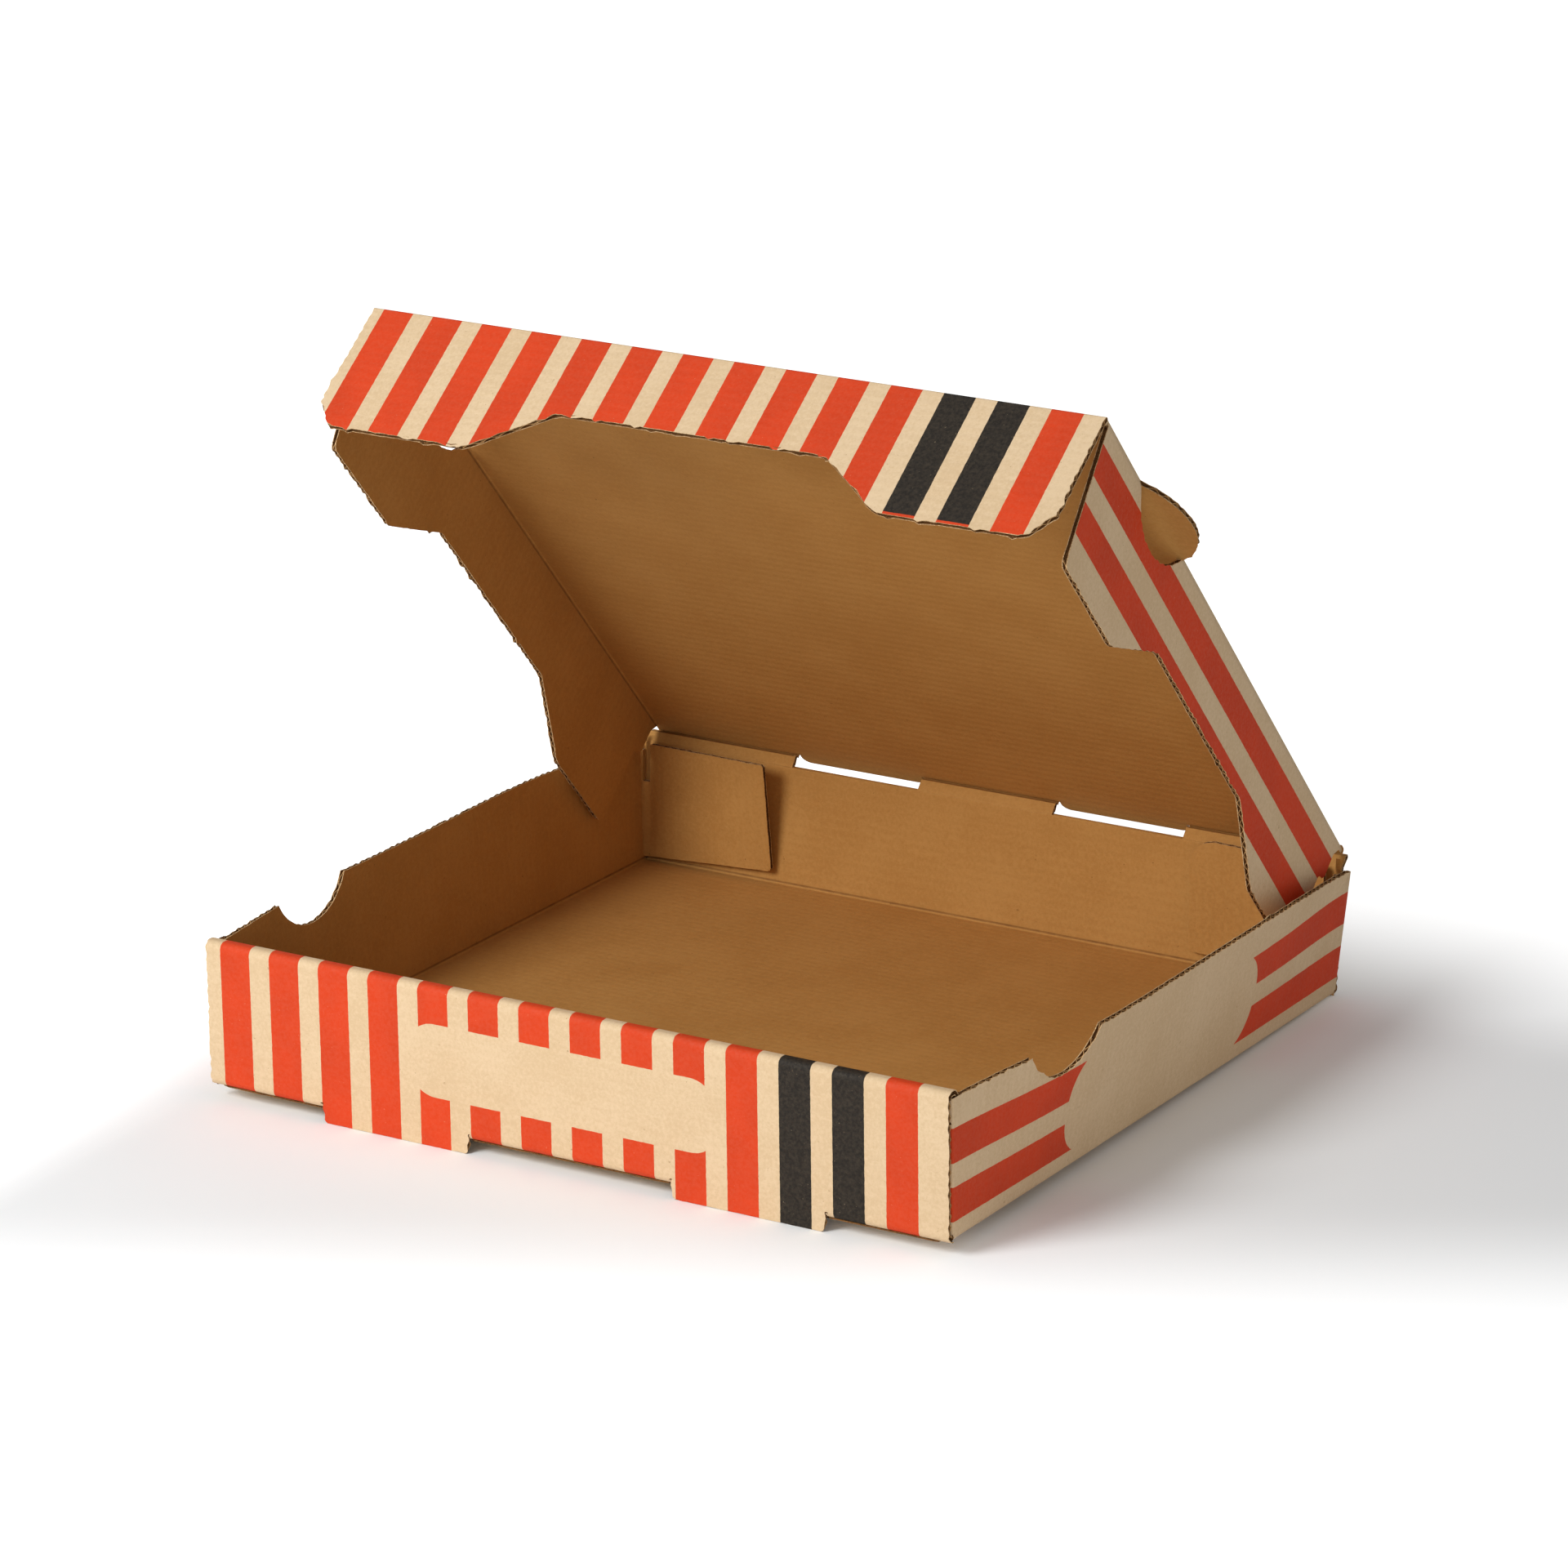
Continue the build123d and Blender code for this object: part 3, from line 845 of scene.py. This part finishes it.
class BoardPiece:
    """One folded sheet: a dressed copy of a CAD node with opened and fluted cut edges."""

    def __init__(
        self,
        node: str,
        patch: Callable[[Vector, Vector], Patch],
        seed: int,
        runs: tuple,
        torn: Callable[[Vector], float],
    ) -> None:
        """Starts a sheet.

        Args:
            node: The CAD node that it stands for.
            patch: Where each face lies on the folded sheet.
            seed: Moves the noise of its edges.
            runs: Origin and direction of each way that its cut edges run.
            torn: How much tufts stand out at a point, -1 for none.
        """
        self.node = node
        self.patch = patch
        self.runs = runs
        self.torn = torn
        self.shift = Vector((17.3, 5.1, 8.7)) * seed
        self.bm = bmesh.new()

    def build(self, finishes: Finishes) -> bpy.types.Object:
        """Makes the piece and lets it stand for its node.

        Args:
            finishes: The box's materials.

        Returns:
            The finished object.
        """
        self.bm.from_mesh(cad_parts[self.node].data)
        bmesh.ops.remove_doubles(self.bm, verts=self.bm.verts, dist=0.02 * MM)
        bmesh.ops.dissolve_limit(
            self.bm, angle_limit=math.radians(0.6), verts=self.bm.verts, edges=self.bm.edges
        )
        self.bm.normal_update()
        self._classify()
        self._join_rims()
        self._divide_rims()
        self._classify_print()
        self._fray()
        quads = self._rim_quads()
        self._open_rims()
        self._flutes(quads)
        self._map()
        piece = add_piece(self.node + "_board", self.bm, [finishes.get(name) for name in SLOTS])
        piece.data.shade_smooth()
        piece.data.set_sharp_from_angle(angle=math.radians(38))
        weighted = piece.modifiers.new("panel_normals", "WEIGHTED_NORMAL")
        weighted.keep_sharp = True
        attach(piece, self.node)
        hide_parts(self.node)
        log.info("%s: %d faces", piece.name, len(piece.data.polygons))
        return piece

    def _classify(self) -> None:
        """Marks each face as outer liner, inner liner or cut edge."""
        self.bm.faces.layers.int.new("kind")
        self.bm.faces.layers.int.new("run")
        self.kind = self.bm.faces.layers.int["kind"]
        self.run = self.bm.faces.layers.int["run"]
        for f in self.bm.faces:
            c = f.calc_center_median() / MM
            side = f.normal.dot(self.patch(c, f.normal).outward)
            if side > 0.4:
                f[self.kind] = Side.OUTER.value
            elif side < -0.4:
                f[self.kind] = Side.INNER.value
            else:
                f[self.kind] = Side.RIM.value

    def _rims(self) -> list:
        """Faces of the cut edges."""
        return [f for f in self.bm.faces if f[self.kind] == Side.RIM.value]

    def _join_rims(self) -> None:
        """Finds which way each cut edge runs and joins the pieces that run alike."""
        for f in self._rims():
            c = f.calc_center_median() / MM
            patch = self.patch(c, f.normal)
            along = patch.outward.cross(f.normal)
            scores = []
            for _, axis in self.runs:
                score = abs(along.dot(axis))
                scores.append(score + (score > 0.25 and self._slope(patch, c, axis) > 0.5))
            f[self.run] = 1 + scores.index(max(scores))
        inside = [e for e in self.bm.edges if len(e.link_faces) == 2 and self._alike(*e.link_faces)]
        bmesh.ops.dissolve_edges(self.bm, edges=inside, use_verts=False, use_face_split=False)
        self.bm.normal_update()

    def _alike(self, a: bmesh.types.BMFace, b: bmesh.types.BMFace) -> bool:
        """Whether two faces are parts of one stretch of cut edge."""
        both = a[self.kind] == b[self.kind] == Side.RIM.value
        return both and a[self.run] == b[self.run] and a.normal.dot(b.normal) > 0.96

    @staticmethod
    def _slope(patch: Patch, c: Vector, axis: Vector) -> float:
        """How fast the blank's v changes along an axis, from 0 where flutes run with it to 1."""
        return abs(patch.blank(c + axis)[1] - patch.blank(c)[1])

    def _divide_rims(self) -> None:
        """Cuts the edges across at every half flute, so that they fray in step with the flutes."""
        step = BOARD.flute_pitch / 2
        for index, (origin, axis) in enumerate(self.runs):
            faces = {f for f in self._rims() if f[self.run] == index + 1}
            spots = [axis.dot(v.co / MM - origin) for f in faces for v in f.verts]
            if not spots:
                continue
            for k in range(math.ceil(min(spots) / step), math.floor(max(spots) / step) + 1):
                place = origin + axis * (k * step)
                cut = {f for f in faces if self._spans(f, place, axis)}
                if not cut:
                    continue
                geom = set(cut)
                for f in cut:
                    geom.update(f.edges)
                    geom.update(f.verts)
                made = bmesh.ops.bisect_plane(
                    self.bm, geom=list(geom), dist=0.01 * MM, plane_co=place * MM, plane_no=axis
                )
                faces -= cut
                faces |= {g for g in made["geom"] if isinstance(g, bmesh.types.BMFace)}

    @staticmethod
    def _spans(face: bmesh.types.BMFace, place: Vector, axis: Vector) -> bool:
        """Whether a plane passes through a face, not just beside it."""
        spots = [axis.dot(v.co / MM - place) for v in face.verts]
        return min(spots) < -0.25 and max(spots) > 0.25

    def _classify_print(self) -> None:
        """Gives each liner face its material and each cut edge its rim."""
        for f in self.bm.faces:
            c = f.calc_center_median() / MM
            if f[self.kind] == Side.INNER.value:
                f.material_index = SLOTS.index("inner")
            elif f[self.kind] == Side.OUTER.value:
                f.material_index = PRINT_SLOT[self.patch(c, f.normal).print]
            else:
                f.material_index = SLOTS.index("rim")

    def _fray(self) -> None:
        """Scallops the outer liner between its flutes and makes the cut edge a little uneven."""
        moves: dict = {}
        for f in self._rims():
            for v in f.verts:
                moves.setdefault(v, []).append(f)
        for v, faces in moves.items():
            normals = [f.normal.copy() for f in faces]
            if any(a.dot(b) < FRAY.same_way for a in normals for b in normals):
                continue
            total = sum(normals, Vector()).normalized()
            rough = noise.noise(v.co / MM * FRAY.scale + self.shift)
            depth = FRAY.ragged * max(0.0, 1 + FRAY.uneven * rough)
            if any(f[self.kind] == Side.OUTER.value for f in v.link_faces):
                depth += FRAY.scallop * (1 + rough) * max(0.0, -self._phase(v.co, faces[0]))
            tuft = noise.noise(v.co / MM * FRAY.tuft_scale - self.shift) + self.torn(v.co / MM)
            raised = min(max(tuft, 0.0) * FRAY.tuft_gain, FRAY.tuft_most)
            v.co -= total * (depth - raised) * MM
        self.bm.normal_update()

    def _phase(self, co: Vector, face: bmesh.types.BMFace) -> float:
        """Where the medium lies at a point of a cut edge.

        Args:
            co: The point in metres.
            face: Face of the edge.

        Returns:
            1 at the outer liner and -1 at the inner one.
        """
        p = co / MM
        c = face.calc_center_median() / MM
        patch = self.patch(c, face.normal)
        if self._slope(patch, c, self.runs[face[self.run] - 1][1]) < 0.5:
            return 1.0
        return math.cos(math.tau * patch.blank(p)[1] / BOARD.flute_pitch)

    def _rim_quads(self) -> list:
        """Measures each stretch between two cuts.

        Returns:
            Corner points, normal and ends along v of each stretch.
        """
        found = []
        for f in self._rims():
            axis = self.runs[f[self.run] - 1][1]
            c = f.calc_center_median() / MM
            patch = self.patch(c, f.normal)
            if len(f.verts) < 4 or self._slope(patch, c, axis) < 0.5:
                continue
            spots = sorted((v.co.copy() for v in f.verts), key=axis.dot)
            start = sorted(spots[:2], key=patch.outward.dot)
            end = sorted(spots[-2:], key=patch.outward.dot)
            width = ((start[1] - start[0]).length + (end[1] - end[0]).length) / 2
            run = (end[0] + end[1] - start[0] - start[1]).length / 2
            if abs(width / MM - BOARD.thickness) > 0.5 or run / MM < 0.2:
                continue
            va, vb = (patch.blank((pair[0] + pair[1]) / 2 / MM)[1] for pair in (start, end))
            found.append(((start[0], end[0], end[1], start[1]), f.normal.copy(), va, vb))
        return found

    def _open_rims(self) -> None:
        """Opens the cut edges between their two liners."""
        rims = self._rims()
        self._inset(rims, BOARD.liner, 0.0, "rim")
        inner = [f for f in rims if f.is_valid]
        self._inset(inner, 0.02, -BOARD.edge_recess, "core")
        self._dress([f for f in inner if f.is_valid], "core")

    def _inset(self, faces: list, thickness: float, depth: float, slot: str) -> None:
        """Insets a region and dresses the faces round it.

        Args:
            faces: The region.
            thickness: Width of the inset in millimetres.
            depth: How far the region moves out.
            slot: Material of the faces round it.
        """
        made = bmesh.ops.inset_region(
            self.bm,
            faces=faces,
            thickness=thickness * MM,
            depth=depth * MM,
            use_even_offset=False,
            use_boundary=True,
        )
        self._dress(made["faces"], slot)

    def _dress(self, faces: list, slot: str) -> None:
        """Marks faces as the opened edge's and gives them their material."""
        for f in faces:
            f[self.kind] = Side.CORE.value
            f.material_index = SLOTS.index(slot)

    def _flutes(self, quads: list) -> None:
        """Fills the opened edges with the wave of the fluted medium.

        Args:
            quads: Corner points, normal and ends along the blank of each stretch.
        """
        for corners, normal, va, vb in quads:
            count = max(1, math.ceil(abs(vb - va) / BOARD.flute_pitch * 8))
            row = []
            for i in range(count + 1):
                s = i / count
                phase = math.tau * (va + (vb - va) * s) / BOARD.flute_pitch
                low = corners[0].lerp(corners[1], s)
                high = corners[3].lerp(corners[2], s)
                row.append((low.lerp(high, 0.5 + 0.3 * math.cos(phase)), (high - low).normalized()))
            self._ribbon(row, normal)

    def _ribbon(self, row: list, normal: Vector) -> None:
        """One stretch of the medium, as a thin wall that goes into the edge.

        Args:
            row: Middle points of the wave, each with the direction across the board.
            normal: Direction out of the edge.
        """
        half = BOARD.medium_half * MM
        top = -BOARD.medium_top * MM
        bottom = -(BOARD.edge_recess - 0.05) * MM
        loops = []
        for at, across in row:
            loops.append(
                [
                    self.bm.verts.new(at - across * half + normal * bottom),
                    self.bm.verts.new(at - across * half + normal * top),
                    self.bm.verts.new(at + across * half + normal * top),
                    self.bm.verts.new(at + across * half + normal * bottom),
                ]
            )
        for a, b in zip(loops, loops[1:]):
            for i in range(3):
                face = self.bm.faces.new((a[i], a[i + 1], b[i + 1], b[i]))
                self._dress([face], "flute")

    def _map(self) -> None:
        """Writes each face's place on the flat blank as its UV, in metres."""
        bmesh.ops.recalc_face_normals(
            self.bm, faces=[f for f in self.bm.faces if f.material_index != SLOTS.index("flute")]
        )
        uv = self.bm.loops.layers.uv.new("blank")
        for f in self.bm.faces:
            patch = self.patch(f.calc_center_median() / MM, f.normal)
            for loop in f.loops:
                u, v = patch.blank(loop.vert.co / MM)
                loop[uv].uv = (u * MM, v * MM)


@dataclass(frozen=True)
class HingeSkin:
    """Outer liner that runs unbroken over the lid's hinge crease, beside the two windows."""

    radius: float = 0.93
    paper: float = 0.1
    lap: float = 1.6
    strip_deg: float = 40.0
    window_middle: float = 48.5
    window_half: float = 23.6
    end: float = 126.4

    def build(self, finishes: Finishes) -> bpy.types.Object:
        """Makes the skin, curved round the hinge from the tray's strip to the lid at its resting
        angle.

        Args:
            finishes: The box's materials.

        Returns:
            The finished object.
        """
        bm = bmesh.new()
        inner = self.window_middle - self.window_half
        outer = self.window_middle + self.window_half
        for left, right in ((-self.end, -outer), (-inner, inner), (outer, self.end)):
            self._band(bm, left, right)
        bmesh.ops.recalc_face_normals(bm, faces=bm.faces)
        axis = Vector((0, LID.hinge_y, LID.hinge_z)) * MM
        for f in bm.faces:
            arm = f.calc_center_median() - axis
            arm.x = 0
            f.material_index = 1 if f.normal.dot(arm.normalized()) > 0.2 else 0
        skin = add_piece("hinge_skin", bm, [finishes.get("inner"), finishes.get("plain")])
        skin.data.shade_smooth()
        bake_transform(skin)
        log.info("hinge_skin: %d faces", len(skin.data.polygons))
        return skin

    def _band(self, bm: bmesh.types.BMesh, left: float, right: float) -> None:
        """One band of the skin, extruded along X from its profile.

        Args:
            bm: The skin.
            left, right: The band's ends in millimetres.
        """
        low = math.radians(self.strip_deg)
        high = math.radians(LID.open_deg)
        strip_out = (math.cos(low), -math.sin(low))
        lid_out = (math.sin(high), math.cos(high))
        from_a = math.atan2(strip_out[1], strip_out[0])
        to_a = math.atan2(lid_out[1], lid_out[0])
        profile = [
            (
                strip_out[0] * self.radius - math.sin(low) * self.lap,
                strip_out[1] * self.radius - math.cos(low) * self.lap,
            )
        ]
        for i in range(13):
            a = from_a + (to_a - from_a) * i / 12
            profile.append((math.cos(a) * self.radius, math.sin(a) * self.radius))
        profile.append(
            (
                lid_out[0] * self.radius - math.cos(high) * self.lap,
                lid_out[1] * self.radius + math.sin(high) * self.lap,
            )
        )
        verts = [
            bm.verts.new((left * MM, (LID.hinge_y + y) * MM, (LID.hinge_z + z) * MM))
            for y, z in profile
        ]
        edges = [bm.edges.new(pair) for pair in zip(verts, verts[1:])]
        made = bmesh.ops.extrude_edge_only(bm, edges=edges)
        moved = [g for g in made["geom"] if isinstance(g, bmesh.types.BMVert)]
        bmesh.ops.translate(bm, verts=moved, vec=((right - left) * MM, 0, 0))
        faces = [g for g in made["geom"] if isinstance(g, bmesh.types.BMFace)]
        bmesh.ops.solidify(bm, geom=faces, thickness=self.paper * MM)


@dataclass(frozen=True)
class CornerLiner:
    """Narrow tongues of liner between each side wall's rear end and the back wall."""

    near: float = 127.25
    far: float = 128.9
    low: float = 28.0
    high: float = 45.2
    depth: float = 251.6
    paper: float = 0.2

    def build(self, finishes: Finishes) -> bpy.types.Object:
        """Makes both tongues, which ride on the tray.

        Args:
            finishes: The box's materials.

        Returns:
            The finished object.
        """
        bm = bmesh.new()
        for side in (-1, 1):
            made = bmesh.ops.create_grid(bm, x_segments=2, y_segments=24, size=0.5)
            verts = made["verts"]
            size = ((self.far - self.near) * MM, (self.high - self.low) * MM, 1)
            bmesh.ops.scale(bm, verts=verts, vec=size)
            bmesh.ops.rotate(bm, verts=verts, matrix=Matrix.Rotation(math.radians(90), 3, "X"))
            middle = Vector((side * (self.near + self.far) / 2, TRAY.front_y + self.depth, 0)) * MM
            middle.z = (TRAY.base_z + (self.low + self.high) / 2) * MM
            bmesh.ops.translate(bm, verts=verts, vec=middle)
        bmesh.ops.solidify(bm, geom=bm.faces[:], thickness=self.paper * MM)
        bmesh.ops.recalc_face_normals(bm, faces=bm.faces)
        liner = add_piece("corner_liner", bm, [finishes.get("inner")])
        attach(liner, "tray")
        log.info("corner_liner: %d faces", len(liner.data.polygons))
        return liner


# Studio


@dataclass(frozen=True)
class Lamp:
    """Round soft lamp: place and size in metres, power in watts."""

    name: str
    at: tuple[float, float, float]
    size: float
    power: float
    colour: tuple[float, float, float]


@dataclass(frozen=True)
class Studio:
    """Floor, lights and camera, in metres."""

    key: Lamp = Lamp("key", (-0.47, -1.16, 0.84), 0.66, 15.9, (0.955, 0.985, 1.0))
    fill: Lamp = Lamp("fill", (0.66, -0.98, 0.13), 0.5, 1.6, (1.0, 0.93, 0.82))
    aim_at: tuple[float, float, float] = (0.0, 0.0, 0.08)
    world_strength: float = 0.36
    floor_half: float = 6.0
    camera_at: tuple = (1.0033, -1.72246, 0.7229)
    yaw: float = 0.52876
    pitch: float = 0.30908
    roll: float = -0.00548
    lens: float = 156.29
    sensor: float = 36.0
    clip: tuple[float, float] = (0.05, 50.0)
    # Where the floor's painted glow rises, in metres, with its share in front and its strengths.
    glow_back: tuple = (0.09, 0.23)
    glow_front: tuple = (0.13, 0.24)
    glow_right: tuple = (0.32, 0.50)
    glow_left: tuple = (-0.125, -0.19)
    front_share: float = 0.55
    glow_near: float = 0.0
    glow_far: float = 0.72

    def build(self) -> None:
        """Makes the floor, the lights, the world and the camera."""
        self._floor()
        self._world()
        self._lamp(self.key)
        self._lamp(self.fill)
        self._camera()

    def _floor(self) -> None:
        """Makes the pale floor, tilted under the box's feet, with painted light: a glow that only
        the camera sees whitens the floor away from the box and fades out round it, where the box's
        shadow stays.
        """
        bm = bmesh.new()
        bmesh.ops.create_grid(bm, x_segments=1, y_segments=1, size=self.floor_half)
        tilt = math.atan2(TRAY.base_z, TRAY.depth)
        bmesh.ops.rotate(bm, verts=bm.verts, matrix=Matrix.Rotation(tilt, 3, "X"))
        drop = math.tan(tilt) * (TRAY.front_y * MM)
        bmesh.ops.translate(bm, verts=bm.verts, vec=(0, 0, -drop))
        g = Graph("floor_paper")
        tone = g.noise(300.0, 2.0)
        g.link(g.mix(tone, srgb(248, 248, 248), srgb(251, 251, 251)), g.shader.inputs["Base Color"])
        g.shader.inputs["Roughness"].default_value = 0.9
        g.shader.inputs["Specular IOR Level"].default_value = 0.1
        split = g.node("ShaderNodeSeparateXYZ")
        g.link(g.coords.outputs["Object"], split.inputs["Vector"])
        ahead = g.math(
            "SUBTRACT",
            g.math("MULTIPLY", split.outputs["X"], 0.5),
            g.math("MULTIPLY", split.outputs["Y"], 0.87),
        )
        # Painted light: the glow rises behind, in front of, right and left of the box and is zero
        # near it. This shapes the darker shadow band beside the box.
        back = g.smooth(split.outputs["Y"], *self.glow_back)
        front = g.math("MULTIPLY", g.smooth(ahead, *self.glow_front), self.front_share)
        right = g.smooth(split.outputs["X"], *self.glow_right)
        left = g.smooth(split.outputs["X"], *self.glow_left)
        glow = g.math("MAXIMUM", g.math("MAXIMUM", back, front), g.math("MAXIMUM", right, left))
        g.shader.inputs["Emission Color"].default_value = (1, 1, 1, 1)
        path = g.node("ShaderNodeLightPath")
        strength = g.scale(glow, 0.0, 1.0, self.glow_near, self.glow_far)
        strength = g.math("MULTIPLY", strength, path.outputs["Is Camera Ray"])
        g.link(strength, g.shader.inputs["Emission Strength"])
        floor = add_piece("floor", bm, [g.material])

    def _world(self) -> None:
        """Makes the even white light round the scene."""
        world = bpy.data.worlds.new("studio")
        world.use_nodes = True
        background = world.node_tree.nodes["Background"]
        background.inputs["Color"].default_value = (1, 1, 1, 1)
        background.inputs["Strength"].default_value = self.world_strength
        bpy.context.scene.world = world

    def _lamp(self, lamp: Lamp) -> None:
        """Makes one lamp that faces the box.

        Args:
            lamp: The lamp's place, size, power and colour.
        """
        data = bpy.data.lights.new(lamp.name, "AREA")
        data.shape = "DISK"
        data.size = lamp.size
        data.energy = lamp.power
        data.color = lamp.colour
        light = bpy.data.objects.new(lamp.name, data)
        light.location = lamp.at
        aim = Vector(self.aim_at) - Vector(lamp.at)
        light.rotation_mode = "QUATERNION"
        light.rotation_quaternion = aim.to_track_quat("-Z", "Y")
        bpy.context.scene.collection.objects.link(light)

    def _camera(self) -> None:
        """Makes the camera from its place and its three angles."""
        cy, sy = math.cos(self.yaw), math.sin(self.yaw)
        cp, sp = math.cos(self.pitch), math.sin(self.pitch)
        ahead = Vector((-sy * cp, cy * cp, -sp))
        right0 = Vector((cy, sy, 0))
        down0 = ahead.cross(right0)
        right = right0 * math.cos(self.roll) + down0 * math.sin(self.roll)
        down = down0 * math.cos(self.roll) - right0 * math.sin(self.roll)
        data = bpy.data.cameras.new("camera")
        data.lens = self.lens
        data.sensor_width = self.sensor
        data.clip_start, data.clip_end = self.clip
        cam = bpy.data.objects.new("camera", data)
        turn = Matrix((right, -down, -ahead)).transposed()
        cam.matrix_world = Matrix.Translation(self.camera_at) @ turn.to_4x4()
        bpy.context.scene.collection.objects.link(cam)
        bpy.context.scene.camera = cam


def main() -> None:
    """Builds the dressed box and its studio."""
    logging.basicConfig(level=logging.INFO, format="%(name)s: %(message)s")
    bpy.context.scene.view_settings.view_transform = "Standard"
    finishes = Finishes()
    lid, tuck = lid_axes(), tuck_axes()
    across = Vector((1, 0, 0))
    corner = Vector((0, TRAY.front_y, TRAY.base_z))
    tray_runs = ((corner, Vector((0, 1, 0))), (corner, Vector((0, 0, 1))), (corner, across))
    lid_runs = ((lid.origin, lid.along), (lid.origin, lid.inward), (lid.origin, across))
    tuck_runs = ((tuck.origin, tuck.along), (tuck.origin, across))

    def tray_torn(p: Vector) -> float:
        """Tufts stand on the upper right part of the tray alone."""
        return -0.42 if p.z > 30 and p.x > 0 else UNTORN

    def lid_torn(p: Vector) -> float:
        """Tufts stand all round the lid."""
        return -0.45

    def tuck_torn(p: Vector) -> float:
        """Tufts stand on the tuck flap's free edge alone."""
        return -0.2 if tuck.local(p).y > 24 else UNTORN

    BoardPiece("tray", tray_patch, 3, tray_runs, tray_torn).build(finishes)
    BoardPiece("lid", lid_patch, 5, lid_runs, lid_torn).build(finishes)
    BoardPiece("lid_front_flap", tuck_patch, 7, tuck_runs, tuck_torn).build(finishes)
    HingeSkin().build(finishes)
    CornerLiner().build(finishes)
    Studio().build()
    bpy.context.view_layer.update()


if __name__ == "__main__":
    main()
